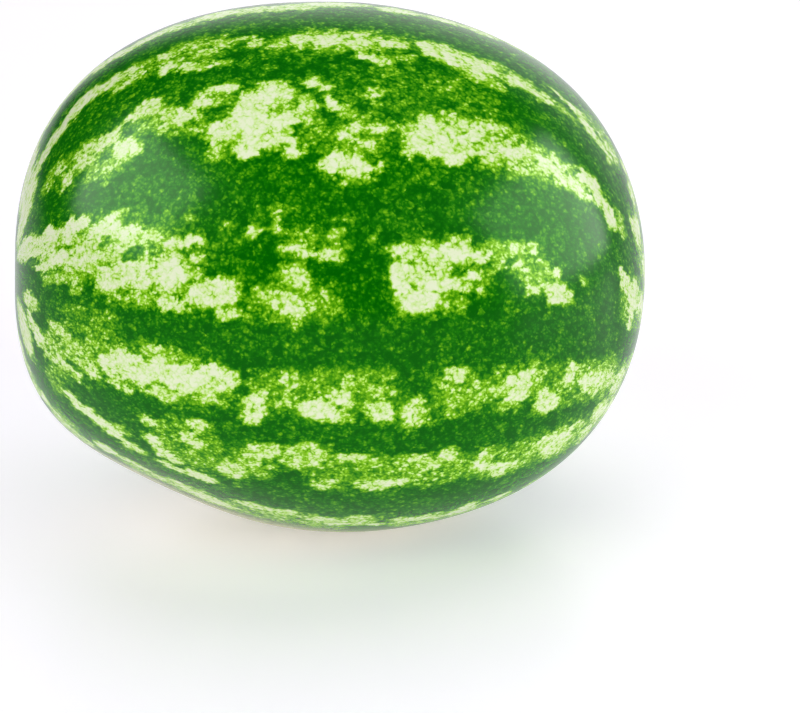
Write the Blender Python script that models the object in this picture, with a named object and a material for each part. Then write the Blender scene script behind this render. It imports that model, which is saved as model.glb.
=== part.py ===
"""A whole striped watermelon, lying on the small flat spot under its belly.

Metres, +Z up. The long axis runs along X: the blunt blossom end is at -X and the narrower
stem end, which lies a little lower, at +X. The origin is under the middle, on the ground.
"""

import math

import bmesh
import bpy
from mathutils import Matrix, Vector

NAME = "watermelon"

# Size of the fruit, in metres.
BLOSSOM_LENGTH = 0.1456
STEM_LENGTH = 0.1489
HALF_WIDTH = 0.1233
# The fruit is this share wider towards its stem end.
WIDENING = 0.053
# Fullness of the side and of the end cap, each 2 on an ellipsoid and more on a boxier form.
BLOSSOM_SIDE = 2.68
BLOSSOM_CAP = 2.5
STEM_SIDE = 2.1
STEM_CAP = 2.2
# Both ends hang below the middle by this much.
END_SAG = 0.0046

# Swells and hollows left by how the fruit lay as it grew: place along the axis, degrees round
# from the top towards -Y, and height. They fade out over SWELL_SPREAD.
SWELLS = (
    (-0.118, 147, -0.0063),
    (-0.078, 156, -0.0086),
    (-0.022, 178, 0.0070),
    (0.066, -18, -0.0028),
)
SWELL_SPREAD = 0.042

# The stem's place lies below the tip of the form, turned down by this angle about the middle.
STEM_DROOP = math.radians(10.5)

# The basin that the stem sat in, with the low corky disc where it broke off.
BASIN_DEPTH = 0.0040
BASIN_SPREAD = 0.0150
STEM_SCAR_RADIUS = 0.0065
STEM_SCAR_HEIGHT = 0.0016
# The shallow navel where the blossom fell off.
NAVEL_DEPTH = 0.0012
NAVEL_SPREAD = 0.0070

# How it lies: turned stem end down, on a flat spot pressed this deep into the belly.
LYING_ANGLE = math.radians(2.9)
FLAT_DEPTH = 0.0015
# A point of the skin this near to the flat's plane is moved onto it.
RIM_SNAP = 0.0003

# Fineness of the surface. The rings crowd towards both ends, where the scars are.
SEGMENTS = 72
RINGS = 60
END_CROWDING = 0.6

# Rind between its pale and its dark stripes, seen from far off.
RIND_COLOUR = (0.072, 0.215, 0.024, 1.0)
RIND_ROUGHNESS = 0.36


def start_empty():
    for old in list(bpy.data.objects):
        bpy.data.objects.remove(old, do_unlink=True)
    home = bpy.data.collections.new(NAME)
    bpy.context.scene.collection.children.link(home)
    return home


def rind_material():
    material = bpy.data.materials.new("striped_rind")
    material.use_nodes = True
    shader = material.node_tree.nodes["Principled BSDF"]
    shader.inputs["Base Color"].default_value = RIND_COLOUR
    shader.inputs["Roughness"].default_value = RIND_ROUGHNESS
    shader.inputs["Metallic"].default_value = 0.0
    return material


def length_of(share):
    """Half length on the side of the middle that the share, from -1 to 1, lies on."""
    return BLOSSOM_LENGTH if share < 0 else STEM_LENGTH


def girth(share):
    """Radius of the plain form at a share of the way from the middle to an end."""
    side = BLOSSOM_SIDE if share < 0 else STEM_SIDE
    cap = BLOSSOM_CAP if share < 0 else STEM_CAP
    rise = max(0.0, 1 - abs(share) ** side)
    return HALF_WIDTH * (1 + WIDENING * share) * rise ** (1 / cap)


def around(place, radius, angle):
    """Point at a place along the axis, so far out and so far round from the top."""
    return Vector((place, -radius * math.sin(angle), radius * math.cos(angle)))


def swell_at(point):
    """Height of all swells and hollows together at a point of the plain form."""
    total = 0.0
    for place, degrees, height in SWELLS:
        centre = around(place, girth(place / length_of(place)), math.radians(degrees))
        gap = (point - centre).length / SWELL_SPREAD
        total += height * math.exp(-gap * gap / 2)
    return total


def skin_point(from_stem, longitude):
    """Point of the smooth skin: angle from the stem's place, and angle round from the top."""
    direction = around(math.cos(from_stem), math.sin(from_stem), longitude)
    droop = STEM_DROOP * max(0.0, direction.x) ** 2
    direction.rotate(Matrix.Rotation(droop, 3, "Y"))
    share = max(-1.0, min(1.0, direction.x))
    angle = math.atan2(-direction.y, direction.z)
    radius = girth(share)
    place = length_of(share) * share
    swell = swell_at(around(place, radius, angle))
    point = around(place, radius * (1 + swell / HALF_WIDTH), angle)
    point.z -= END_SAG * share * share
    return point


def dent(distance, depth, spread):
    return depth * math.exp(-((distance / spread) ** 2))


def scar(distance):
    """Height of the corky disc, flat on top with a soft edge."""
    return STEM_SCAR_HEIGHT / (1 + (distance / STEM_SCAR_RADIUS) ** 8)


def finish_ends(point, stem_place, blossom_place):
    """Sinks the stem's basin and the navel, and raises the scar in the basin."""
    to_stem = (point - stem_place).length
    to_blossom = (point - blossom_place).length
    point.x += scar(to_stem) - dent(to_stem, BASIN_DEPTH, BASIN_SPREAD)
    point.x += dent(to_blossom, NAVEL_DEPTH, NAVEL_SPREAD)
    return point


def crowd(angle):
    """Moves an angle from one end towards the nearer end, so that rings lie closer there."""
    return angle - END_CROWDING * math.sin(2 * angle) / 2


def grown_fruit():
    """A round ball, poles at the two ends, with each of its points moved out to the skin."""
    fruit = bmesh.new()
    lay_down = Matrix.Rotation(math.pi / 2, 4, "Y")
    bmesh.ops.create_uvsphere(
        fruit,
        u_segments=SEGMENTS,
        v_segments=RINGS,
        radius=1.0,
        matrix=lay_down,
    )
    stem_place = skin_point(0.0, 0.0)
    blossom_place = skin_point(math.pi, 0.0)
    for corner in fruit.verts:
        direction = corner.co.normalized()
        from_stem = crowd(math.acos(max(-1.0, min(1.0, direction.x))))
        longitude = math.atan2(-direction.y, direction.z)
        point = skin_point(from_stem, longitude)
        corner.co = finish_ends(point, stem_place, blossom_place)
    return fruit


def lay_on_flat(fruit):
    """Turns the fruit as it lies, and cuts the flat spot that it rests on."""
    lying = Matrix.Rotation(LYING_ANGLE, 3, "Y")
    bmesh.ops.rotate(fruit, cent=(0, 0, 0), matrix=lying, verts=fruit.verts)
    ground = min(corner.co.z for corner in fruit.verts) + FLAT_DEPTH
    everything = fruit.verts[:] + fruit.edges[:] + fruit.faces[:]
    bmesh.ops.bisect_plane(
        fruit,
        geom=everything,
        dist=RIM_SNAP,
        plane_co=(0, 0, ground),
        plane_no=(0, 0, -1),
        clear_outer=True,
    )
    rim = [edge for edge in fruit.edges if edge.is_boundary]
    for edge in rim:
        for corner in edge.verts:
            corner.co.z = ground
    bmesh.ops.holes_fill(fruit, edges=rim)


def move_origin(fruit):
    """Puts the origin under the middle of the fruit, on the ground."""
    xs = [corner.co.x for corner in fruit.verts]
    ys = [corner.co.y for corner in fruit.verts]
    zs = [corner.co.z for corner in fruit.verts]
    middle = Vector(((min(xs) + max(xs)) / 2, (min(ys) + max(ys)) / 2, min(zs)))
    bmesh.ops.translate(fruit, vec=-middle, verts=fruit.verts)
    print("middle moved by", [round(value * 1000, 2) for value in -middle], "mm")


def make_watermelon(home):
    fruit = grown_fruit()
    lay_on_flat(fruit)
    move_origin(fruit)
    bmesh.ops.recalc_face_normals(fruit, faces=fruit.faces)
    mesh = bpy.data.meshes.new(NAME)
    fruit.to_mesh(mesh)
    fruit.free()
    mesh.shade_smooth()
    mesh.set_sharp_from_angle(angle=math.radians(35))
    mesh.materials.append(rind_material())
    watermelon = bpy.data.objects.new(NAME, mesh)
    home.objects.link(watermelon)
    size = [round(side * 1000, 1) for side in watermelon.dimensions]
    print(NAME, size, "mm,", len(mesh.polygons), "faces")


make_watermelon(start_empty())
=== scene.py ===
# %% [markdown]
# # A whole striped watermelon
#
# The fruit lies on a pale floor in soft studio light. The imported model gives its true size and
# place, so the first step loads it. Everything made below stays in the model's box.

# %% Load the frame
import math
import random

import bpy
import numpy as np
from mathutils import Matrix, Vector, noise


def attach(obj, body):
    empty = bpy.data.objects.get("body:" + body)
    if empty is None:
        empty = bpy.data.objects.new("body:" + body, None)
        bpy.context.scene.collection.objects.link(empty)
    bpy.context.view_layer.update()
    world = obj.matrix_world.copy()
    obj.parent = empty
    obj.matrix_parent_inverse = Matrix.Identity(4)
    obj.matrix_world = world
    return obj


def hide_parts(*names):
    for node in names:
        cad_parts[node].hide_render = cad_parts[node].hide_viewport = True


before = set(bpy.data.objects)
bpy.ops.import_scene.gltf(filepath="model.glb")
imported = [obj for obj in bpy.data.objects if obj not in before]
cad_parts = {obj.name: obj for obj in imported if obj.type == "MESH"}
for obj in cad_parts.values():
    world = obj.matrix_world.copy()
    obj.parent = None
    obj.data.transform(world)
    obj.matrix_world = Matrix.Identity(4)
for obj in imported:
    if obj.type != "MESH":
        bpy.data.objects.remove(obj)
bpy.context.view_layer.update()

# %% [markdown]
# Two small helpers serve all that follows. Colours are written as the sRGB hex values that a
# painter would pick, and the shader needs them linear. Node trees are long lists of nodes, so one
# function adds a node, sets it up, links its inputs in order and hands back its output.

# %% Helpers for colours and nodes
MATH = "ShaderNodeMath"
VECTOR = "ShaderNodeVectorMath"


def linear(hex_colour):
    """Linear RGBA of an sRGB hex colour such as #1e7a08."""
    parts = [int(hex_colour[i : i + 2], 16) / 255 for i in (1, 3, 5)]
    bent = [p / 12.92 if p <= 0.04045 else ((p + 0.055) / 1.055) ** 2.4 for p in parts]
    return (*bent, 1.0)


def add(tree, kind, *values, out=0, **settings):
    """Adds a node. Values fill its live inputs in order, None leaves one as it is."""
    new = tree.nodes.new(kind)
    for name, value in settings.items():
        setattr(new, name, value)
    sockets = [socket for socket in new.inputs if socket.enabled]
    for socket, value in zip(sockets, values):
        if isinstance(value, bpy.types.NodeSocket):
            tree.links.new(value, socket)
        elif value is not None:
            socket.default_value = value
    outputs = [socket for socket in new.outputs if socket.enabled]
    return outputs[out] if outputs else new


print("helpers ready")

# %% [markdown]
# The photograph was taken with a long lens from about a metre and a half, looking down by some
# twenty degrees, so the far end is hardly smaller than the near one. The camera comes first,
# because every later choice is judged through it.

# %% Camera
CAMERA_PLACE = Vector((-0.1305, -1.4036, 0.6402))
CAMERA_AIM = Vector((0.0309, -0.0189, 0.0865))
LENS_MM = 143.8
SENSOR_MM = 36.0

camera_data = bpy.data.cameras.new("camera")
camera_data.lens = LENS_MM
camera_data.sensor_width = SENSOR_MM
camera = bpy.data.objects.new("camera", camera_data)
camera.location = CAMERA_PLACE
camera.rotation_euler = (CAMERA_AIM - CAMERA_PLACE).to_track_quat("-Z", "Y").to_euler()
bpy.context.scene.collection.objects.link(camera)
bpy.context.scene.camera = camera
print("camera", round((CAMERA_AIM - CAMERA_PLACE).length, 3), "m from its aim")

# %% [markdown]
# The studio's floor is a smooth pale sheet that runs so far back that no edge of it shows. A wide
# plane does for it. It is a little glossy, so the fruit shows faintly in it.

# %% Floor
FLOOR_HALF = 3.0
# The sheet lies this far below the fruit's flat spot, so that the two never share a plane.
FLOOR_DROP = 0.0002
# Light of its own, which stands for lamps that light the sheet alone and keep it near white.
FLOOR_GLOW = 0.34


def floor_material():
    """White acrylic sheet: matt to the eye, with a faint blurred mirror image."""
    material = bpy.data.materials.new("white_acrylic_floor")
    material.use_nodes = True
    shader = material.node_tree.nodes["Principled BSDF"]
    shader.inputs["Base Color"].default_value = linear("#ebe6f0")
    shader.inputs["Emission Color"].default_value = linear("#fbf9ff")
    shader.inputs["Emission Strength"].default_value = FLOOR_GLOW
    shader.inputs["Roughness"].default_value = 0.3
    shader.inputs["IOR"].default_value = 1.45
    return material


floor_mesh = bpy.data.meshes.new("floor")
sides = ((-1, -1), (1, -1), (1, 1), (-1, 1))
corners = [(x * FLOOR_HALF, y * FLOOR_HALF, -FLOOR_DROP) for x, y in sides]
floor_mesh.from_pydata(corners, [], [(0, 1, 2, 3)])
floor_mesh.materials.append(floor_material())
floor = bpy.data.objects.new("floor", floor_mesh)
bpy.context.scene.collection.objects.link(floor)
print("floor", 2 * FLOOR_HALF, "m wide")

# %% [markdown]
# A glossy fruit is mostly seen by what it mirrors. The photograph shows a soft box at the left and
# one lower down at the right, a white wall behind and a dark room on the camera's side. The two
# boxes are mirrored in the skin, and three fills light it evenly without being mirrored.

# %% Lights
FRUIT_MIDDLE = Vector((0.0, 0.0, 0.125))
# Name, degrees round from the front towards +X, degrees up, distance, width, height, watts.
MIRRORED_BOXES = (
    ("left_box", -79, 36, 1.5, 1.50, 1.05, 70.0),
    ("right_box", 77, 19, 1.5, 1.60, 1.05, 66.0),
)
FILLS = (
    ("left_fill", -50, 35, 2.0, 1.8, 1.4, 18.5),
    ("right_fill", 35, 30, 2.0, 1.8, 1.4, 16.5),
    ("top_fill", 150, 75, 2.2, 3.0, 2.0, 30.0),
)


def soft_box(name, around, up, distance, width, height, watts):
    data = bpy.data.lights.new(name, "AREA")
    data.shape = "RECTANGLE"
    data.size = width
    data.size_y = height
    data.energy = watts
    light = bpy.data.objects.new(name, data)
    turn, rise = math.radians(around), math.radians(up)
    way = Vector((math.sin(turn) * math.cos(rise), -math.cos(turn) * math.cos(rise), math.sin(rise)))
    light.location = FRUIT_MIDDLE + way * distance
    light.rotation_euler = (-way).to_track_quat("-Z", "Y").to_euler()
    bpy.context.scene.collection.objects.link(light)
    print(name, [round(v, 2) for v in light.location])
    return light


for box in MIRRORED_BOXES:
    soft_box(*box).visible_diffuse = False
for box in FILLS:
    soft_box(*box).visible_glossy = False

# %% [markdown]
# The world stands for the walls. One white wall is behind the fruit and to its right, and gives
# that edge its grey sheen. The rest of the room is dark, so the front keeps its deep green.

# %% Studio walls
WHITE_WALL = 1.4
WALL_WAY = (0.42, 0.91, 0.0)
# Cosine of the angle to the wall's middle: dark below the first, fully white above the second.
WALL_EDGE = (0.72, 0.88)
DARK_ROOM = 0.03

world = bpy.data.worlds.new("white_studio")
bpy.context.scene.world = world
world.use_nodes = True
sky = world.node_tree.nodes["Background"]
sky.inputs["Color"].default_value = (1.0, 1.0, 1.0, 1.0)
way = add(world.node_tree, "ShaderNodeTexCoord").node.outputs["Generated"]
facing = add(world.node_tree, VECTOR, way, WALL_WAY, operation="DOT_PRODUCT")
bright = add(world.node_tree, "ShaderNodeMapRange", facing, *WALL_EDGE, DARK_ROOM, WHITE_WALL)
world.node_tree.links.new(bright, sky.inputs["Strength"])
bpy.context.scene.view_settings.view_transform = "Standard"
print("walls from", DARK_ROOM, "to", WHITE_WALL)

# %% [markdown]
# The fruit's form follows one rule, the same as the solid's: a ball whose girth along its length
# is a full curve, a little wider towards the stem, with slight swells where it lay in the field.
# So Geometry Nodes make it, from a sphere whose poles are the stem's place and the blossom's.

# %% Sizes of the fruit
SIZES = {
    "Blossom Length": 0.1456,
    "Stem Length": 0.1489,
    "Half Width": 0.1233,
    "Widening": 0.053,
    "Blossom Side": 2.68,
    "Blossom Cap": 2.5,
    "Stem Side": 2.1,
    "Stem Cap": 2.2,
    "End Sag": 0.0046,
    "Stem Droop": math.radians(10.5),
    "Lying Angle": math.radians(2.9),
    "Flat Depth": 0.0015,
    "Basin Depth": 0.0040,
    "Basin Spread": 0.0150,
    "Navel Depth": 0.0012,
    "Navel Spread": 0.0070,
    "Scar Radius": 0.0065,
    "Scar Height": 0.0016,
}
SEGMENTS = 400
RINGS = 240
END_CROWDING = 0.35
# Place along the axis, degrees round from the top, height of each swell or hollow.
SWELLS = (
    (-0.118, 147, -0.0063),
    (-0.078, 156, -0.0086),
    (-0.022, 178, 0.0070),
    (0.066, -18, -0.0028),
)
SWELL_SPREAD = 0.042
# The fine skin is drawn in to this share, to stay inside the box of the solid's flat facets.
SKIN_SHARE = 0.9997
# The corky disc's edge falls off with this power of the distance.
SCAR_SHARPNESS = 8.0
# Cork colour fades out over these shares of the scar's radius, and at the blossom, in metres.
SCAR_EDGE = (0.85, 1.15)
DOT_EDGE = (0.0015, 0.0050)
# A number past every point of the ball, which the look-up takes as the last one.
LAST_POINT = 10**8
# The stripes are drawn on a cylinder of this radius that was wrapped round the ball.
PATTERN_RADIUS = 0.125
PATTERN_LENGTH = 0.145


def girth_at(share):
    """Radius of the plain form at a share of the way from the middle to an end."""
    end = "Blossom" if share < 0 else "Stem"
    rise = max(0.0, 1 - abs(share) ** SIZES[end + " Side"])
    return SIZES["Half Width"] * (1 + SIZES["Widening"] * share) * rise ** (1 / SIZES[end + " Cap"])


def swell_centre(place, degrees):
    """Where on the plain form a swell sits."""
    length = SIZES["Blossom Length"] if place < 0 else SIZES["Stem Length"]
    radius = girth_at(place / length)
    turn = math.radians(degrees)
    return (place, -radius * math.sin(turn), radius * math.cos(turn))


print(len(SIZES), "sizes and", len(SWELLS), "swells")

# %% [markdown]
# The tree reads in the order in which the form comes about. First each point of a ball is named
# by its angle from the stem and its turn round the axis, then it is moved out to the girth, then
# the swells, the basin and the navel are added, and last the fruit is laid on its flat spot.

# %% Geometry Nodes tree of the fruit


def ball_angles(tree):
    """Angle from the stem's pole and turn round the axis, from the ball's own points."""
    here = add(tree, "GeometryNodeInputPosition")
    x, y, z = add(tree, "ShaderNodeSeparateXYZ", here).node.outputs
    from_stem = add(tree, MATH, z, operation="ARCCOSINE")
    doubled = add(tree, MATH, from_stem, 2.0, operation="MULTIPLY")
    wave = add(tree, MATH, doubled, operation="SINE")
    from_stem = add(tree, MATH, wave, -END_CROWDING / 2, from_stem, operation="MULTIPLY_ADD")
    front = add(tree, MATH, x, -1.0, operation="MULTIPLY")
    turn = add(tree, MATH, front, y, operation="ARCTAN2")
    return from_stem, turn


def around(tree, place, radius, turn):
    """Point at a place along the axis, so far out and so far round from the top."""
    sine = add(tree, MATH, turn, operation="SINE")
    cosine = add(tree, MATH, turn, operation="COSINE")
    frontward = add(tree, MATH, sine, radius, operation="MULTIPLY")
    y = add(tree, MATH, frontward, -1.0, operation="MULTIPLY")
    z = add(tree, MATH, cosine, radius, operation="MULTIPLY")
    return add(tree, "ShaderNodeCombineXYZ", place, y, z)


def by_end(tree, share, blossom, stem):
    """The blossom's value on its half of the fruit, and the stem's on the other."""
    on_blossom = add(tree, MATH, share, 0.0, operation="LESS_THAN")
    return add(tree, "ShaderNodeMix", on_blossom, stem, blossom, data_type="FLOAT")


def girth(tree, size, share):
    """Radius of the plain form, the full curve written with powers."""
    side = by_end(tree, share, size["Blossom Side"], size["Stem Side"])
    cap = by_end(tree, share, size["Blossom Cap"], size["Stem Cap"])
    away = add(tree, MATH, add(tree, MATH, share, operation="ABSOLUTE"), side, operation="POWER")
    rise = add(tree, MATH, add(tree, MATH, 1.0, away, operation="SUBTRACT"), 0.0, operation="MAXIMUM")
    curve = add(tree, MATH, rise, add(tree, MATH, 1.0, cap, operation="DIVIDE"), operation="POWER")
    wider = add(tree, MATH, share, size["Widening"], 1.0, operation="MULTIPLY_ADD")
    width = add(tree, MATH, wider, size["Half Width"], operation="MULTIPLY")
    return add(tree, MATH, curve, width, operation="MULTIPLY")


def bump_at(tree, gap, height, spread):
    """A soft bump of that height, fading with the gap to its middle."""
    ratio = add(tree, MATH, gap, spread, operation="DIVIDE")
    square = add(tree, MATH, ratio, ratio, operation="MULTIPLY")
    fade = add(tree, MATH, add(tree, MATH, square, -1.0, operation="MULTIPLY"), operation="EXPONENT")
    return add(tree, MATH, fade, height, operation="MULTIPLY")


def skin_place(tree, size, from_stem, turn):
    """The point of the smooth skin for a point of the ball."""
    cosine = add(tree, MATH, from_stem, operation="COSINE")
    sine = add(tree, MATH, from_stem, operation="SINE")
    direction = around(tree, cosine, sine, turn)
    stemward = add(tree, MATH, cosine, 0.0, operation="MAXIMUM")
    square = add(tree, MATH, stemward, stemward, operation="MULTIPLY")
    droop = add(tree, MATH, square, size["Stem Droop"], operation="MULTIPLY")
    direction = add(tree, "ShaderNodeVectorRotate", direction, None, droop, rotation_type="Y_AXIS")
    share, y, z = add(tree, "ShaderNodeSeparateXYZ", direction).node.outputs
    turn = add(tree, MATH, add(tree, MATH, y, -1.0, operation="MULTIPLY"), z, operation="ARCTAN2")
    radius = girth(tree, size, share)
    length = by_end(tree, share, size["Blossom Length"], size["Stem Length"])
    place = add(tree, MATH, share, length, operation="MULTIPLY")
    plain = around(tree, place, radius, turn)
    swell = 0.0
    for where, degrees, height in SWELLS:
        gap = add(tree, VECTOR, plain, swell_centre(where, degrees), operation="DISTANCE")
        one = bump_at(tree, gap, height, SWELL_SPREAD * math.sqrt(2))
        swell = add(tree, MATH, one, swell, operation="ADD")
    swollen = add(tree, MATH, swell, size["Half Width"], operation="DIVIDE")
    swollen = add(tree, MATH, swollen, 1.0, operation="ADD")
    point = around(tree, place, add(tree, MATH, radius, swollen, operation="MULTIPLY"), turn)
    endward = add(tree, MATH, share, share, operation="MULTIPLY")
    sag = add(tree, MATH, endward, size["End Sag"], operation="MULTIPLY")
    down = add(tree, "ShaderNodeCombineXYZ", 0.0, 0.0, sag)
    return add(tree, VECTOR, point, down, operation="SUBTRACT")


def gap_to_pole(tree, shape, index):
    """Distance of each point to the pole with that number, the sphere's first or last point."""
    here = add(tree, "GeometryNodeInputPosition")
    kind = "FLOAT_VECTOR"
    pole = add(tree, "GeometryNodeSampleIndex", shape, here, index, data_type=kind, clamp=True)
    return add(tree, VECTOR, here, pole, operation="DISTANCE")


def keep(tree, shape, name, value, kind):
    """Keeps a value on each point under that name, for the painting and the shader."""
    store = "GeometryNodeStoreNamedAttribute"
    return add(tree, store, shape, None, name, value, data_type=kind, domain="POINT")


def finish_ends(tree, size, shape):
    """Sinks the stem's basin and the navel, and raises the scar in the basin."""
    to_stem = gap_to_pole(tree, shape, 0)
    to_blossom = gap_to_pole(tree, shape, LAST_POINT)
    basin = bump_at(tree, to_stem, size["Basin Depth"], size["Basin Spread"])
    navel = bump_at(tree, to_blossom, size["Navel Depth"], size["Navel Spread"])
    ratio = add(tree, MATH, to_stem, size["Scar Radius"], operation="DIVIDE")
    edge = add(tree, MATH, ratio, SCAR_SHARPNESS, operation="POWER")
    edge = add(tree, MATH, edge, 1.0, operation="ADD")
    scar = add(tree, MATH, size["Scar Height"], edge, operation="DIVIDE")
    forward = add(tree, MATH, scar, basin, operation="SUBTRACT")
    forward = add(tree, MATH, forward, navel, operation="ADD")
    offset = add(tree, "ShaderNodeCombineXYZ", forward, 0.0, 0.0)
    cork = add(tree, "ShaderNodeMapRange", ratio, *SCAR_EDGE, 1.0, 0.0)
    dot = add(tree, "ShaderNodeMapRange", to_blossom, *DOT_EDGE, 1.0, 0.0)
    both = add(tree, MATH, cork, dot, operation="MAXIMUM")
    shape = keep(tree, shape, "scar", both, "FLOAT")
    return add(tree, "GeometryNodeSetPosition", shape, None, None, offset)


def lay_down(tree, size, shape):
    """Turns the fruit as it lies, centres it on the origin and presses its flat spot."""
    angle = add(tree, "ShaderNodeCombineXYZ", 0.0, size["Lying Angle"], 0.0)
    shape = add(tree, "GeometryNodeTransform", shape, None, angle)
    box = add(tree, "GeometryNodeBoundBox", shape).node
    middle = add(tree, VECTOR, box.outputs["Min"], box.outputs["Max"], operation="ADD")
    middle = add(tree, VECTOR, middle, (-0.5, -0.5, 0.0), operation="MULTIPLY")
    lowest = add(tree, "ShaderNodeSeparateXYZ", box.outputs["Min"]).node.outputs["Z"]
    ground = add(tree, MATH, lowest, size["Flat Depth"], operation="ADD")
    raised = add(tree, MATH, ground, -1.0, operation="MULTIPLY")
    lift = add(tree, "ShaderNodeCombineXYZ", 0.0, 0.0, raised)
    move = add(tree, VECTOR, middle, lift, operation="ADD")
    shape = add(tree, "GeometryNodeTransform", shape, move)
    shape = add(tree, "GeometryNodeTransform", shape, None, None, (SKIN_SHARE, SKIN_SHARE, SKIN_SHARE))
    here = add(tree, "GeometryNodeInputPosition")
    # The lowest corner of the room that the fruit may fill. Only its height is ever reached.
    pressed = add(tree, VECTOR, here, (-1.0, -1.0, 0.0), operation="MAXIMUM")
    return add(tree, "GeometryNodeSetPosition", shape, None, pressed)


def fruit_tree():
    """Builds the whole tree, with every size as a named input."""
    tree = bpy.data.node_groups.new("watermelon_form", "GeometryNodeTree")
    for name, value in SIZES.items():
        socket = tree.interface.new_socket(name, in_out="INPUT", socket_type="NodeSocketFloat")
        socket.default_value = value
    tree.interface.new_socket("Rind", in_out="INPUT", socket_type="NodeSocketMaterial")
    tree.interface.new_socket("Fruit", in_out="OUTPUT", socket_type="NodeSocketGeometry")
    size = add(tree, "NodeGroupInput").node.outputs
    ball = add(tree, "GeometryNodeMeshUVSphere", SEGMENTS, RINGS, 1.0)
    from_stem, turn = ball_angles(tree)
    above = add(tree, MATH, math.pi / 2, from_stem, operation="SUBTRACT")
    along = add(tree, MATH, above, PATTERN_LENGTH, operation="MULTIPLY")
    pattern = around(tree, along, PATTERN_RADIUS, turn)
    shape = keep(tree, ball, "grown", pattern, "FLOAT_VECTOR")
    shape = add(tree, "GeometryNodeSetPosition", shape, None, skin_place(tree, size, from_stem, turn))
    shape = lay_down(tree, size, finish_ends(tree, size, shape))
    shape = add(tree, "GeometryNodeSetShadeSmooth", shape, None, True)
    shape = add(tree, "GeometryNodeRealizeInstances", shape)
    shape = add(tree, "GeometryNodeSetMaterial", shape, None, size["Rind"])
    add(tree, "NodeGroupOutput", shape)
    return tree


form_tree = fruit_tree()
print("form tree:", len(form_tree.nodes), "nodes")
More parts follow.
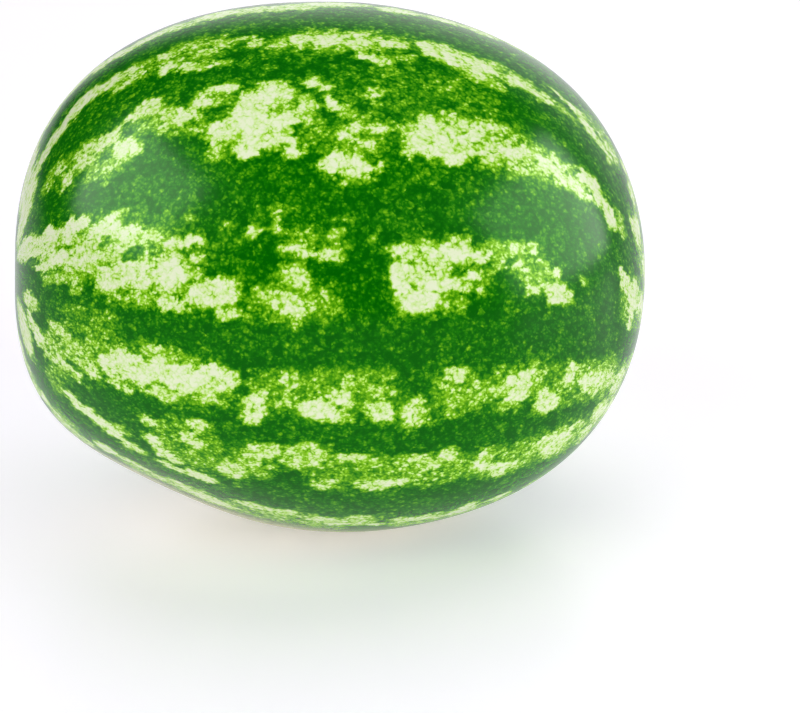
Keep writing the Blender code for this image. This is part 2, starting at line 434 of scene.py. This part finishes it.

# %% [markdown]
# The stripes of this kind of melon are no plain bands. Pale skin breaks out in clumps along the
# stripes, and they were placed here one by one, as dabs of a sponge on a globe that lies on its side:
# -90 degrees is the blossom's pole and 90 the stem's, and the turn counts from the top forwards.

# %% Pale dabs that the photograph shows
# Latitude, turn, half length, half width in degrees, lean in degrees of turn a degree, paleness.
DABS = (
    # top limb
    (-76, 8, 5, 16, 0, 1.0), (-72, -5, 5, 14, 0, 1.0), (-68, -14, 5, 9, 0, 0.95),
    (-62, -13, 6, 7, 0, 0.95), (-55, -13, 5, 5, 0, 0.9), (-50, -12, 5, 4, 0, 0.9),
    (-45, -7.5, 5, 4, 0, 0.95), (-40, -5.5, 5, 3.2, 0, 1.0), (-35.5, -5.5, 4, 3, 0, 1.0),
    (-31, -6, 4, 4, 0, 0.8), (-27, -5, 4, 3.6, 0, 0.7), (-22, -6.5, 5, 4.4, 0, 0.95),
    (-16, -5.5, 5, 3.8, 0, 0.9), (-8, -4.5, 6, 4, 0, 0.85), (0, -7, 6, 4.4, 0, 0.9),
    (10.5, -4, 4, 4, 0, 0.9), (18, -4, 4, 3.6, 0, 0.85), (24.5, -4.5, 4, 4.4, 0, 0.8),
    (32, -8, 6, 5, 0, 0.8), (39, -10, 5, 5, 0, 0.7),
    # first stripe
    (-76, 28, 9, 16, -1.3, 1.0), (-63, 15, 7, 5, -0.4, 1.0), (-54, 11, 6, 4.5, -0.4, 1.0),
    (-47, 11.5, 4, 3.2, 0, 0.95), (-42, 11, 4, 2.4, 0, 0.9), (-42, 16.5, 3.5, 1.6, -0.2, 0.8),
    (-40, 13, 6, 5, 0, 0.6), (-33, 11.3, 2.4, 1.8, 0, 1.0), (-33, 17.3, 2.4, 1.6, 0, 1.0),
    (-28, 13, 9, 6, 0, 0.6), (-28, 11.5, 2.4, 1.3, 0, 0.85), (-23, 11.5, 2.6, 1.6, 0, 0.8),
    (-29, 19, 2.6, 1.4, 0, 0.85), (-24, 20.5, 3.5, 1.3, 0, 0.8), (-18, 12.5, 3, 1.6, 0, 0.7),
    (-16, 15, 2.2, 1.4, 0, 0.7), (-12, 16.5, 2, 1.6, 0, 0.95), (-8, 15.3, 2.4, 2.2, 0, 1.0),
    (-3, 15.5, 3.5, 2.8, 0, 1.0), (2, 17, 3.4, 2.4, 0, 0.95), (1, 13.8, 4, 1.4, 0, 0.85),
    (8, 17, 3, 1.8, 0, 0.95), (4.5, 22.5, 3.4, 1.8, 0.2, 0.85), (-1, 16, 13, 5, 0, 0.6),
    (9, 21, 3, 3, 0, 0.5), (13.5, 17, 2.5, 2.2, 0.2, 1.0), (18.5, 17.3, 3.5, 2.6, 0.2, 1.0),
    (16, 19.5, 3.4, 2.2, 0.2, 1.0), (22.5, 19.2, 3.4, 2.6, 0.3, 1.0), (20, 21.5, 5, 2.4, 0.3, 0.85),
    (26, 20.5, 3, 1.6, 0.3, 0.8), (23, 24, 5, 2, 0.3, 0.6), (29.5, 21, 3, 1.8, 0.3, 0.9),
    (33.5, 21.5, 3, 1.6, 0.3, 0.9), (26, 16, 3, 1, 0.3, 0.7), (31, 20, 12, 3.4, 0.2, 0.62),
    (38.5, 15.5, 3, 1.5, 0.4, 0.8), (42, 17, 3, 2, 0.5, 0.95), (45, 20.5, 3.4, 2.8, 0.6, 1.0),
    (48.5, 23, 3, 2.6, 0.6, 1.0), (18, 17.5, 7, 3.4, 0.1, 0.84),
    # second stripe, left
    (-62, 34, 5, 5, -0.5, 0.6), (-58, 41, 2.5, 2.5, 0, 0.95), (-57, 35, 4, 6, 0, 0.55),
    (-52, 35, 4, 5, 0, 0.8), (-46, 34, 3.5, 3, 0, 0.9), (-42, 39, 4, 3.5, 0, 1.0),
    (-48, 43, 5, 4, 0, 0.65), (-37, 29, 4, 2.8, 0, 0.9), (-41, 31, 2, 1.5, 0, 0.85),
    (-34, 31.5, 2.5, 2.5, 0, 0.8), (-36, 34, 5, 4, 0, 0.5), (-34.5, 36.5, 1.6, 1.6, 0, 0.9),
    (-31, 33.5, 2.2, 2.6, 0, 1.0), (-28.5, 34.5, 2, 1.6, 0, 1.0), (-26.5, 32, 2, 1.8, 0, 0.95),
    (-30, 37, 5, 4, 0, 0.55), (-23, 29, 3.5, 1.8, 0, 0.95), (-25, 31, 4, 3, 0, 0.6),
    # second stripe, the large patch
    (-13.5, 30.5, 2.9, 2.9, 0, 1.0), (-16.5, 34, 4.2, 3.6, 0, 1.0), (-11.5, 33, 1.8, 3, 0, 0.9),
    (-18, 38, 5, 4, 0, 1.0), (-23, 40.5, 3.6, 3, 0, 1.0), (-13, 38.5, 3.5, 4, 0, 1.0),
    (-17, 43, 4, 3, 0, 1.0), (-12, 42.5, 2.5, 2.5, 0, 0.95), (-18.7, 46, 2, 2, 0, 1.0),
    (-10.8, 46.5, 1.7, 2.3, 0, 1.0), (-24, 45.5, 2.5, 2.3, 0, 0.62), (-8, 36.5, 2.3, 4.5, 0, 0.72),
    (-14, 45, 2, 2, 0, 0.6), (-6.5, 42, 3, 3, 0, 0.5),
    # second stripe, middle
    (-6.6, 29, 1.6, 2.5, 0, 1.0), (-4.5, 30.8, 1.5, 1.5, 0, 0.9), (-3.8, 35, 1.3, 2.4, 0.5, 1.0),
    (-1.2, 37.5, 2, 2.1, 0, 0.9), (4, 32, 1.4, 1.7, 0.3, 0.78), (3.5, 37.3, 1.3, 1.4, 0, 0.75),
    (-1.4, 43, 2, 1.7, 0, 1.0), (3.5, 41.3, 2.3, 1.6, 0, 0.9), (0.5, 41, 1.5, 1.3, 0, 0.8),
    (2.5, 45, 2, 1.8, 0, 0.65), (-4, 49.5, 2.7, 1.9, 0, 1.0), (0, 50, 3, 2.5, 0, 1.0),
    (3.2, 50.8, 1.8, 1.2, 0, 1.0), (-2, 47.8, 2, 1.1, 0, 0.8), (0, 53.2, 3.2, 1.2, 0, 0.55),
    (1, 43, 6, 6, 0, 0.42), (8.6, 42.5, 1.6, 2, 0, 0.6), (11.4, 41.5, 1.8, 3.2, 0, 1.0),
    (9.3, 46.5, 1, 1.4, 0, 0.85),
    # second stripe, right
    (10, 44, 2, 3, 0, 0.8), (12.5, 40, 2.5, 2.5, 0, 0.9), (12.8, 46, 2.3, 2.4, 0, 0.9),
    (16, 37.5, 3, 2, 0, 0.75), (16, 42.5, 4, 4, 0, 0.9), (16.5, 47.3, 2, 1.8, 0, 1.0),
    (19.5, 40, 3.5, 3, 0, 0.88), (19.5, 44.8, 3, 2.5, 0, 0.88), (23, 38, 3, 2, 0, 0.85),
    (23, 42.8, 3.5, 3, 0, 0.88), (26, 43.5, 2.5, 2.2, 0, 1.0), (28.5, 42, 2.5, 2.2, 0, 0.9),
    (28.5, 46, 2, 1.6, 0, 0.75), (33.5, 42.5, 3, 2.4, 0.3, 1.0), (36.5, 44, 3, 2.4, 0.3, 1.0),
    (36.5, 40, 3, 1.8, 0.3, 0.85), (41, 44.5, 3.5, 2.6, 0.4, 1.0), (43.5, 40.5, 3.5, 2.6, 0.4, 1.0),
    (46.5, 44, 3, 3, 0.5, 1.0), (49.5, 46, 3, 3.4, 0.6, 1.0), (53, 45, 2.5, 4, 1, 0.6),
    (59, 39, 2, 3, 1.2, 0.85), (24, 42, 17, 6.5, 0.1, 0.6),
    # third stripe, left
    (-76, 57, 8, 8, 0.3, 1.0), (-66, 58, 6, 4, 0, 1.0), (-56, 56.5, 5.5, 2.6, -0.2, 1.0),
    (-57, 60.5, 3.5, 2.2, 0, 0.8), (-47, 59.5, 3.6, 3.4, 0, 1.0), (-41, 62.5, 3.6, 3.2, 0.3, 1.0),
    (-45, 56.5, 3, 1.6, -0.3, 0.9), (-55.5, 68, 9, 1.9, 0, 1.0), (-67.5, 69, 4, 1.7, 0, 1.0),
    (-66.5, 64, 3, 2, 0, 0.55), (-47, 66.5, 3.5, 2.6, 0, 0.85), (-55, 72, 6, 2.6, 0, 0.48),
    (-55, 76, 2.6, 2, 0, 0.6), (-45.5, 73, 4.5, 4, 0, 1.0), (-39, 72, 3.5, 4, 0, 1.0),
    (-45, 78, 2.5, 1.8, 0, 0.55), (-39.5, 77.8, 4, 2, 0, 0.6), (-33, 72, 3.6, 5.5, 0, 1.0),
    (-30, 65, 4.2, 1.3, 0, 1.0), (-32.5, 67, 1.5, 1.6, 0, 0.75), (-28.3, 68.8, 1.6, 1.2, 0, 0.9),
    (-25, 76.5, 6.2, 3.6, 0, 1.0), (-33, 78.5, 4, 2.2, 0.25, 1.0), (-22, 80.8, 3, 1.5, 0, 0.8),
    (-29, 72, 2.5, 1.5, 0, 0.6), (-42, 68, 16, 11, 0, 0.3), (-65.5, 62.5, 5, 3, 0, 0.95),
    (-54, 64.8, 4, 1.9, 0, 0.85), (-46, 66, 4, 2, 0, 0.75), (-62, 67, 6, 2.4, 0, 1.0),
    (-42.5, 70.5, 4, 3, 0, 1.0), (-60, 73, 8, 3, 0, 0.6), (-55, 62, 14, 5, 0, 0.6),
    (-70, 62.5, 4, 3, 0, 0.85), (-46, 66, 17, 7, 0, 0.74),
    (-29, 59.5, 2, 1.2, 0, 0.5), (-23, 61.5, 1.8, 1.3, 0, 0.6), (-17.5, 63.3, 1.6, 1.6, 0, 0.85),
    # third stripe, middle
    (-13.5, 61.5, 1.3, 3, 0, 0.6), (-9, 64, 3, 1.3, 0, 0.5),
    (-3.5, 64, 1.8, 1.5, 0, 0.65), (-2, 61, 3, 1, 0, 0.5), (3, 64.5, 1.3, 1, 0, 0.5),
    (-11.5, 66.7, 1.6, 1.3, 0, 0.75), (-8.7, 67.8, 2.2, 1.4, 0, 0.95), (-5.5, 68.3, 2, 1.5, 0, 0.95),
    (-3.5, 68.8, 1.6, 1.5, 0, 0.65), (-7, 67, 6, 3, 0, 0.38), (-9.5, 73, 2.5, 2, 0, 0.7),
    (-12, 78, 3.5, 3, 0, 0.8), (-16, 76.5, 3, 3, 0, 0.55), (-5, 78.5, 2.5, 2, 0, 0.65),
    (-10, 78, 8, 5, 0, 0.55), (-10.5, 72.5, 3, 2.6, 0, 0.72),
    # third stripe, right
    (8, 67.2, 3.2, 1.8, 0, 0.95), (7, 72.5, 2, 4, 0, 1.0), (12.5, 67.5, 2, 1.4, 0, 0.9),
    (17, 67.3, 3.6, 2.2, 0, 1.0), (17.5, 64.6, 2.8, 0.9, 0, 0.8), (21, 68, 1.6, 1.4, 0, 1.0),
    (14.5, 74, 4, 1.9, 0, 1.0), (11, 77.5, 4.5, 2.8, 0, 1.0), (19.7, 71.6, 1.9, 1.3, 0, 1.0),
    (18.8, 74.6, 1, 0.9, 0, 0.8), (17, 77.5, 2.2, 2.6, 0, 0.5), (24, 66, 2.5, 3, 0.2, 0.62),
    (26.8, 65, 1.8, 1.6, 0.2, 0.9), (28.9, 68.2, 1.5, 1.3, 0.2, 1.0), (28.3, 65.5, 1.3, 2.2, 0.2, 0.8),
    (30.8, 64, 1.4, 1.4, 0.2, 0.95), (25, 69.7, 1.8, 1, 0.2, 0.85), (33.5, 67.5, 1.6, 2, 0.3, 0.8),
    (28.5, 71, 1.3, 1.2, 0, 0.8), (31.5, 73.5, 1.5, 1.3, 0, 1.0), (38, 72.5, 3.6, 2, 0.3, 1.0),
    (36.3, 73.6, 3, 2, 0.3, 1.0), (35.5, 76, 1.2, 1.1, 0, 0.9), (43, 68.5, 1.5, 1, 0.3, 0.75),
    (32, 70, 6, 4.5, 0.3, 0.5), (55.5, 61.5, 2.2, 3, 1, 1.0), (59.5, 64, 3, 4, 1, 1.0),
    (64, 63, 4, 5, 1, 0.85), (35, 68.3, 2, 1.3, 0.3, 0.95), (11, 71.5, 6, 7, 0, 0.68),
    (20, 71, 4, 5, 0, 0.5),
    # faint veil between the first and the second stripe
    (10, 31, 16, 7, 0, 0.28),
    # fourth stripe
    (-77, 110, 7, 14, 1, 1.0), (-72.5, 86, 5, 5, 0, 0.8), (-69, 101, 6, 5, 1, 1.0),
    (-60, 92, 5, 3.4, 0.5, 0.7), (-62, 103, 6, 8, 0.5, 0.64), (-55, 97, 6, 5, 0.3, 0.68),
    (-56, 105, 4, 2.6, 0.3, 0.9), (-51, 101, 3.4, 3.4, 0.3, 0.9), (-60.5, 104, 3, 2.4, 0.3, 0.85),
    (-49, 92, 4, 2.6, 0, 0.6), (-46, 97, 4, 3.4, 0.3, 1.0), (-41, 96, 6, 4.5, 0.2, 1.0),
    (-37, 90.5, 3.4, 2.4, 0, 0.7), (-34.5, 95, 4, 4, 0.2, 1.0), (-30.5, 96.5, 4, 4, 0.2, 1.0),
    (-27, 97.5, 4, 3.4, 0.2, 1.0), (-25, 93.5, 3, 2.5, 0, 0.9), (-22.5, 95.5, 3.5, 3, 0, 0.95),
    (-43.5, 102, 4, 2, 0.3, 0.8), (-35, 101.5, 6, 2, 0.3, 0.75), (-24, 101.5, 3, 1.6, 0.3, 0.75),
    (-34, 96, 14, 7.5, 0.2, 0.55), (-52, 86, 9, 6, 0, 0.36),
    # fifth stripe
    (-61, 116, 4, 6, 0.5, 0.5), (-54.5, 118.5, 4, 3.6, 0.4, 1.0), (-50.5, 119.5, 4, 3.4, 0.4, 1.0),
    (-45, 122.5, 4, 3.4, 0.5, 0.95), (-40, 126, 3.6, 2.6, 0.5, 0.95), (-35.5, 118.5, 2.4, 2.8, 0.3, 0.95),
    (-32.5, 123.5, 3.6, 2.6, 0.4, 0.95), (-30.5, 129.5, 3.6, 1.8, 0.4, 0.9),
    (-24.5, 129.5, 4, 2.5, 0.3, 1.0), (-28, 114, 2.5, 2.5, 0, 0.95),
    (-26.5, 108.5, 2.5, 2, 0, 0.8), (-36.5, 111, 2, 2.5, 0, 0.8),
    (-20, 122.5, 3.5, 3.5, 0.3, 0.8), (-28, 117, 8, 9, 0.3, 0.45), (-43, 119, 3, 2, 0.3, 0.7),
    (-22.5, 147, 6, 4, 0.3, 1.0),
)
# Dark holes in the pale patches, given in the same way.
HOLES = (
    (-57, 63.5, 1.6, 1.1, 0, 0.7), (-47, 63, 1.7, 1.3, 0, 0.6), (-40.5, 67.3, 2.3, 1.3, 0, 0.7),
    (-36, 66.5, 1.5, 1.5, 0, 0.6), (-12.7, 36.8, 1.3, 1.7, 0, 0.45), (16.8, 71.2, 1.8, 1.1, 0, 0.95),
    (-23, 78.8, 0.9, 0.7, 0, 0.6),
)
print(len(DABS), "dabs and", len(HOLES), "holes placed by eye")

# %% [markdown]
# Where the photograph shows nothing, at the back, below and behind the stem end, the same kind of
# dabs are strewn along stripes at the same spacing, by a rule with a fixed seed.

# %% Pale dabs by rule on the hidden side
# Turn of each stripe's middle, and the latitudes between which nothing was placed one by one.
HIDDEN_STRIPES = (
    (17, 52, 86), (41, 62, 86), (66, 62, 86), (97, -17, 86), (119, -17, 86), (-12, 32, 86),
    (146, -80, 84), (-38, -84, 86), (-62, -84, 86), (-87, -84, 86), (-113, -84, 86), (-140, -84, 84),
)
STRIPE_SEED = 7
# What each strewn dab draws at random, in degrees as above: its half length and half width, how
# far aside it sits, its lean, its paleness, and the step along the stripe to the next one.
REACHES = (2.0, 5.0)
BREADTHS = (1.4, 4.8)
ASIDE = (-5.5, 5.5)
LEANS = (-0.2, 0.2)
PALENESSES = (0.7, 1.0)
STEPS = (2.2, 7.5)
# A degree of turn gets shorter towards a pole, so a dab gets wider there, up to this many times.
WIDEST = 2.6
# Most dabs have a broad faint veil round them: chance, shift along, half sizes, limit, paleness.
VEIL_CHANCE = 0.7
VEIL_SHIFT = (-3, 3)
VEIL_REACH = 6
VEIL_BREADTH = 5.5
VEIL_WIDEST = 2.0
VEIL_PALENESS = 0.5


def strewn_dabs():
    rng = random.Random(STRIPE_SEED)
    dabs = []
    for middle, start, stop in HIDDEN_STRIPES:
        latitude = start
        while latitude < stop:
            narrowing = 1 / math.cos(math.radians(latitude))
            reach = rng.uniform(*REACHES)
            breadth = rng.uniform(*BREADTHS) * min(WIDEST, narrowing)
            turn = middle + rng.uniform(*ASIDE)
            lean = rng.uniform(*LEANS)
            dabs.append((latitude, turn, reach, breadth, lean, rng.uniform(*PALENESSES)))
            if rng.random() < VEIL_CHANCE:
                place = latitude + rng.uniform(*VEIL_SHIFT)
                breadth = VEIL_BREADTH * min(VEIL_WIDEST, narrowing)
                dabs.append((place, middle, VEIL_REACH, breadth, 0, VEIL_PALENESS))
            latitude += rng.uniform(*STEPS)
    return dabs


hidden_dabs = strewn_dabs()
print(len(hidden_dabs), "dabs strewn by rule")

# %% [markdown]
# Each dab has a soft edge, and its outline is made ragged by nudging the globe's coordinates with
# noise before the dabs are looked up. The result is one number a point, its paleness, and the
# shader breaks it up further. The yellowish spot on which the fruit lay is a second number.

# %% Paleness of each point of the skin
# A dab is full up to the first share of its half sizes and gone at the second.
DAB_EDGE = (0.65, 1.25)
NUDGE_DEGREES = 1.1
NUDGE_SIZE = 0.006
# How fast the noise's finer layers fade, how much finer each is, and how many there are.
NUDGE_NOISE = (0.6, 2.0, 2)
# Two shifts that keep the nudges along and round the fruit apart.
ALONG_SALT = 3.7
ROUND_SALT = 19.3
# Beyond the latitude with this cosine the nudge round the fruit grows no more.
POLE_COSINE = 0.3
# Where the fruit lay on the ground, given in the same way.
BELLY = ((-8, 181, 44, 27, 0, 1.0), (-40, 171, 20, 19, 0, 0.85))


def smooth_between(value, low, high):
    part = np.clip((value - low) / (high - low), 0.0, 1.0)
    return part * part * (3 - 2 * part)


def nudged(grown, salt):
    """Noise of about the size of a clump, one number a point."""
    spots = grown / NUDGE_SIZE + salt
    return np.array([noise.fractal(Vector(spot), *NUDGE_NOISE) for spot in spots])


def dab_heights(latitude, turn, dabs):
    """The highest paleness that any dab gives each point."""
    best = np.zeros(len(latitude))
    for middle, across, reach, breadth, lean, strength in dabs:
        up = latitude - middle
        aside = (turn - across - lean * up + 180) % 360 - 180
        far = np.sqrt((up / reach) ** 2 + (aside / breadth) ** 2)
        best = np.maximum(best, strength * (1 - smooth_between(far, *DAB_EDGE)))
    return best


def paint_skin(mesh):
    count = len(mesh.vertices)
    grown = np.empty(count * 3)
    mesh.attributes["grown"].data.foreach_get("vector", grown)
    grown = grown.reshape(-1, 3)
    latitude = np.degrees(grown[:, 0] / PATTERN_LENGTH)
    turn = np.degrees(np.arctan2(-grown[:, 1], grown[:, 2]))
    narrowing = 1 / np.maximum(POLE_COSINE, np.cos(np.radians(latitude)))
    latitude = latitude + NUDGE_DEGREES * nudged(grown, ALONG_SALT)
    turn = turn + NUDGE_DEGREES * narrowing * nudged(grown, ROUND_SALT)
    pale = dab_heights(latitude, turn, DABS + tuple(hidden_dabs))
    pale *= 1 - dab_heights(latitude, turn, HOLES)
    belly = dab_heights(latitude, turn, BELLY)
    for name, values in (("paleness", pale), ("belly", belly)):
        layer = mesh.attributes.new(name, "FLOAT", "POINT")
        layer.data.foreach_set("value", values.astype(np.float32))
    print("skin painted:", count, "points, mean paleness", round(float(pale.mean()), 3))


# %% [markdown]
# The rind is wax on living skin, grown and never polished: a thin wax coat over green cells. One
# number, the paleness, runs through a colour ramp from deep green over lime to a near white
# green. Layers of cells and round blisters on it give the ragged lobes and the speckle, and a net
# of thin veins runs through them.

# %% Rind material
# Layers that break up the paleness: kind, size in metres, swing from its lowest to its highest.
# A cloud is soft noise, a cell is lighter or darker as a whole, a blister is palest in its middle.
LAYERS = (
    ("cloud", 0.022, 0.26),
    ("cells", 0.0056, 0.20),
    ("cells", 0.0026, 0.12),
    ("blisters", 0.0036, 0.26),
    ("blisters", 0.0016, 0.25),
    ("cells", 0.0012, 0.13),
)
# A blister is full up to the first distance from its middle and gone at the second, in sizes.
BLISTER_EDGE = (0.1, 0.7)
# Layers in a noise and the share that each finer one keeps: a rich, a plain and a harsh noise.
RICH = (3.0, 0.6)
PLAIN = (2.0, 0.6)
HARSH = (3.0, 0.7)
# Noise bends the pattern's coordinates by up to this reach, so that no cell has straight sides.
WARP_SIZE = 0.004
WARP_REACH = 0.0022
# Mesh width of the net of veins, a vein's half width as a share of it, and how dark it is.
VEIN_SIZE = 0.0040
VEIN_WIDTH = 0.16
VEIN_DEPTH = 0.12
# Place in the colour ramp of skin with no dab on it, and how far a full dab moves it up.
DARK_LEVEL = 0.28
PALE_RISE = 0.73
RAMP = (
    (0.00, "#025e00"), (0.20, "#147400"), (0.32, "#378b04"), (0.42, "#509d08"),
    (0.50, "#6eb210"), (0.59, "#8aca1e"), (0.67, "#b0e056"), (0.75, "#cdea96"), (1.00, "#e6f0cc"),
)
WAX_TINT = "#dcffd2"
# Fine lengthwise streaks where the fruit lay, and the dead tissue of the two scars.
CREAM = "#e8e2b8"
STREAK_SIZE = 0.0014
STREAK_LOW = 0.45
STREAK_EDGE = (0.35, 0.62)
# Streaks are drawn out along the fruit, by counting its length only at this share.
STREAK_STRETCH = (0.08, 1.0, 1.0)
CORK = ("#6f5a34", "#b09a6c")
CORK_SIZE = 0.0012
CORK_EDGE = (0.4, 0.6)
# The skin's own fine unevenness.
GRAIN_SIZE = 0.0016
GRAIN_HEIGHT = 0.00006


def layered(tree, start, where):
    """Adds all layers to a value, each swinging to both sides of nothing."""
    for kind, size, swing in LAYERS:
        if kind == "cells":
            cell = add(tree, "ShaderNodeTexVoronoi", where, 1 / size).node.outputs["Color"]
            layer = add(tree, "ShaderNodeSeparateColor", cell)
        elif kind == "blisters":
            layer = add(tree, "ShaderNodeTexVoronoi", where, 1 / size)
            layer = add(tree, "ShaderNodeMapRange", layer, *BLISTER_EDGE, 1.0, 0.0)
        else:
            layer = add(tree, "ShaderNodeTexNoise", where, 1 / size, *RICH)
        layer = add(tree, MATH, layer, -0.5, operation="ADD")
        start = add(tree, MATH, layer, swing, start, operation="MULTIPLY_ADD")
    return start


def rind_material():
    """Waxed watermelon rind, its pattern read from the fruit's own growth coordinates."""
    material = bpy.data.materials.new("waxy_striped_rind")
    material.use_nodes = True
    tree = material.node_tree
    shader = tree.nodes["Principled BSDF"]
    grown = add(tree, "ShaderNodeAttribute", attribute_name="grown").node.outputs["Vector"]
    pale = add(tree, "ShaderNodeAttribute", attribute_name="paleness").node.outputs["Fac"]
    belly = add(tree, "ShaderNodeAttribute", attribute_name="belly").node.outputs["Fac"]
    scar = add(tree, "ShaderNodeAttribute", attribute_name="scar").node.outputs["Fac"]
    warp = add(tree, "ShaderNodeTexNoise", grown, 1 / WARP_SIZE, *PLAIN).node.outputs["Color"]
    warp = add(tree, VECTOR, warp, (0.5, 0.5, 0.5), operation="SUBTRACT")
    warp = add(tree, VECTOR, warp, WARP_REACH, operation="SCALE")
    bent = add(tree, VECTOR, grown, warp, operation="ADD")
    value = add(tree, MATH, pale, PALE_RISE, DARK_LEVEL, operation="MULTIPLY_ADD")
    value = layered(tree, value, bent)
    edges = add(tree, "ShaderNodeTexVoronoi", bent, 1 / VEIN_SIZE, feature="DISTANCE_TO_EDGE")
    vein = add(tree, "ShaderNodeMapRange", edges, 0.0, VEIN_WIDTH, VEIN_DEPTH, 0.0)
    value = add(tree, MATH, value, vein, operation="SUBTRACT")
    ramp = add(tree, "ShaderNodeValToRGB", value)
    stops = ramp.node.color_ramp.elements
    while len(stops) < len(RAMP):
        stops.new(0.5)
    for stop, (place, colour) in zip(stops, RAMP):
        stop.position = place
        stop.color = linear(colour)
    lengthwise = add(tree, VECTOR, grown, STREAK_STRETCH, operation="MULTIPLY")
    streak = add(tree, "ShaderNodeTexNoise", lengthwise, 1 / STREAK_SIZE, *RICH)
    streak = add(tree, "ShaderNodeMapRange", streak, *STREAK_EDGE, STREAK_LOW, 1.0)
    belly = add(tree, MATH, belly, streak, operation="MULTIPLY")
    skin = add(tree, "ShaderNodeMix", belly, ramp, linear(CREAM), data_type="RGBA")
    specks = add(tree, "ShaderNodeTexNoise", grown, 1 / CORK_SIZE, *HARSH)
    specks = add(tree, "ShaderNodeMapRange", specks, *CORK_EDGE, 0.0, 1.0)
    cork = add(tree, "ShaderNodeMix", specks, linear(CORK[0]), linear(CORK[1]), data_type="RGBA")
    skin = add(tree, "ShaderNodeMix", scar, skin, cork, data_type="RGBA")
    tree.links.new(skin, shader.inputs["Base Color"])
    grain = add(tree, "ShaderNodeTexNoise", grown, 1 / GRAIN_SIZE, *PLAIN)
    bump = add(tree, "ShaderNodeBump", 1.0, GRAIN_HEIGHT, None, grain)
    tree.links.new(bump, shader.inputs["Normal"])
    # Plant wax has an IOR of about 1.4. It is lower here, matched to the faint mirror images.
    shader.inputs["Roughness"].default_value = 0.20
    shader.inputs["IOR"].default_value = 1.23
    shader.inputs["Specular IOR Level"].default_value = 0.34
    shader.inputs["Specular Tint"].default_value = linear(WAX_TINT)
    return material


rind = rind_material()
print("rind:", len(rind.node_tree.nodes), "nodes")

# %% [markdown]
# The tree runs once on an empty mesh. Its result becomes a plain mesh, because everything after
# this step, the painting of the skin too, works on points that stay where they are.

# %% Make the fruit


def make_fruit():
    holder = bpy.data.objects.new("fruit_holder", bpy.data.meshes.new("fruit_holder"))
    bpy.context.scene.collection.objects.link(holder)
    modifier = holder.modifiers.new("form", "NODES")
    modifier.node_group = form_tree
    for item in form_tree.interface.items_tree:
        if item.name == "Rind":
            modifier[item.identifier] = rind
    graph = bpy.context.evaluated_depsgraph_get()
    mesh = bpy.data.meshes.new_from_object(holder.evaluated_get(graph))
    holder.modifiers.remove(modifier)
    bpy.data.objects.remove(holder, do_unlink=True)
    mesh.name = "striped_watermelon"
    fruit = bpy.data.objects.new("striped_watermelon", mesh)
    bpy.context.scene.collection.objects.link(fruit)
    return fruit


fruit = make_fruit()
paint_skin(fruit.data)
print("fruit:", len(fruit.data.vertices), "points,", len(fruit.data.polygons), "faces")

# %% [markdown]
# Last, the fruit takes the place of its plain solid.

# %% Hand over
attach(fruit, "root")
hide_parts("watermelon")
